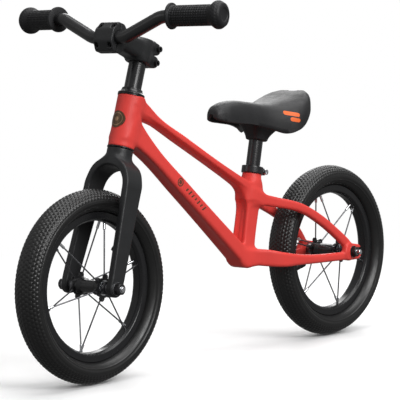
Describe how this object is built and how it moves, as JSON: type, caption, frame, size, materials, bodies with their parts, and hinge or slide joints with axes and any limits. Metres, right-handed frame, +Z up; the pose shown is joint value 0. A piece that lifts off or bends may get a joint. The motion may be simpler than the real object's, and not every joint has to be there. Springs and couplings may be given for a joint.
{
  "type": "balance bike",
  "caption": "Small pedal-free balance bike with a cast diamond frame, spoked wheels, rise handlebar, and adjustable saddle.",
  "frame": {"origin": "on the ground, midway between the two axles", "axes": "+X forwards, +Y to the rider's left, +Z up"},
  "size_m": [0.8364, 0.3956, 0.542],
  "materials": {
    "tyre_rubber": "matte black rubber",
    "black_rubber": "matte",
    "grip_rubber": "matte, fine waffle",
    "black_metal": "gloss black",
    "dark_steel": "dark",
    "bright_steel": "bright",
    "black_steel": "black",
    "black_plastic": "satin",
    "red_cast": "matte coral red paint over a light alloy casting",
    "grey_cast": "satin dark grey over a light alloy casting",
    "bronze": "dark bronze",
    "saddle_foam": "matte skin over foam"
  },
  "bodies": {
    "frame_body": {"frame": "red_cast", "head_badge": "bronze", "headset_upper_outer_race": "black_metal", "headset_upper_balls": "bright_steel", "headset_lower_outer_race": "black_metal", "headset_lower_balls": "bright_steel", "seat_clamp_collar": "black_metal", "seat_clamp_bolt": "bright_steel", "seat_clamp_nut": "bright_steel", "rear_axle": "bright_steel", "rear_axle_spacers": "bright_steel", "rear_axle_washers": "bright_steel", "rear_axle_nuts": "black_metal", "rear_bearing_inner_races": "bright_steel"},
    "fork_body": {"fork": "grey_cast", "steerer_tube": "black_metal", "steerer_cap": "black_plastic", "headset_upper_inner_race": "bright_steel", "headset_lower_inner_race": "bright_steel", "headset_top_cover": "black_plastic", "front_axle": "bright_steel", "front_axle_spacers": "bright_steel", "front_axle_washers": "bright_steel", "front_axle_nuts": "black_metal", "front_bearing_inner_races": "bright_steel"},
    "stem": {"stem_body": "grey_cast", "stem_faceplate": "grey_cast", "faceplate_bolts": "black_steel", "steerer_clamp_bolts": "bright_steel"},
    "handlebar": {"handlebar_tube": "black_metal", "grip_left": "grip_rubber", "grip_right": "grip_rubber"},
    "front_wheel": {"front_tyre": "tyre_rubber", "front_inner_tube": "black_rubber", "front_rim": "black_metal", "front_spokes": "dark_steel", "front_spoke_nipples": "bright_steel", "front_hub_shell": "black_metal", "front_bearing_outer_races": "bright_steel", "front_bearing_balls": "bright_steel", "front_valve_stem": "black_rubber", "front_valve_cap": "black_plastic"},
    "rear_wheel": {"rear_tyre": "tyre_rubber", "rear_inner_tube": "black_rubber", "rear_rim": "black_metal", "rear_spokes": "dark_steel", "rear_spoke_nipples": "bright_steel", "rear_hub_shell": "black_metal", "rear_bearing_outer_races": "bright_steel", "rear_bearing_balls": "bright_steel", "rear_valve_stem": "black_rubber", "rear_valve_cap": "black_plastic"},
    "seat": {"seat_post": "black_metal", "saddle_base": "black_plastic", "saddle_cushion": "saddle_foam", "saddle_screws": "bright_steel"}
  },
  "joints": [
    {"name": "steering", "type": "hinge", "parent": "frame_body", "child": "fork_body", "pos_m": [0.21159, 0, 0.33462], "axis": [-0.3107, 0, 0.9505], "range_deg": [-90, 90]},
    {"name": "front_wheel_spin", "type": "hinge", "parent": "fork_body", "child": "front_wheel", "pos_m": [0.27825, 0, 0.14], "axis": [0, 1, 0], "continuous": true},
    {"name": "rear_wheel_spin", "type": "hinge", "parent": "frame_body", "child": "rear_wheel", "pos_m": [-0.27825, 0, 0.14], "axis": [0, 1, 0], "continuous": true},
    {"name": "stem_height", "type": "slide", "parent": "fork_body", "child": "stem", "axis": [-0.3107, 0, 0.9505], "range_m": [-0.035, 0]},
    {"name": "handlebar_tilt", "type": "hinge", "parent": "stem", "child": "handlebar", "pos_m": [0.22998, 0, 0.49402], "axis": [0, 1, 0], "range_deg": [-20, 20]},
    {"name": "seat_height", "type": "slide", "parent": "frame_body", "child": "seat", "axis": [-0.2164, 0, 0.9763], "range_m": [-0.028, 0.05]}
  ]
}
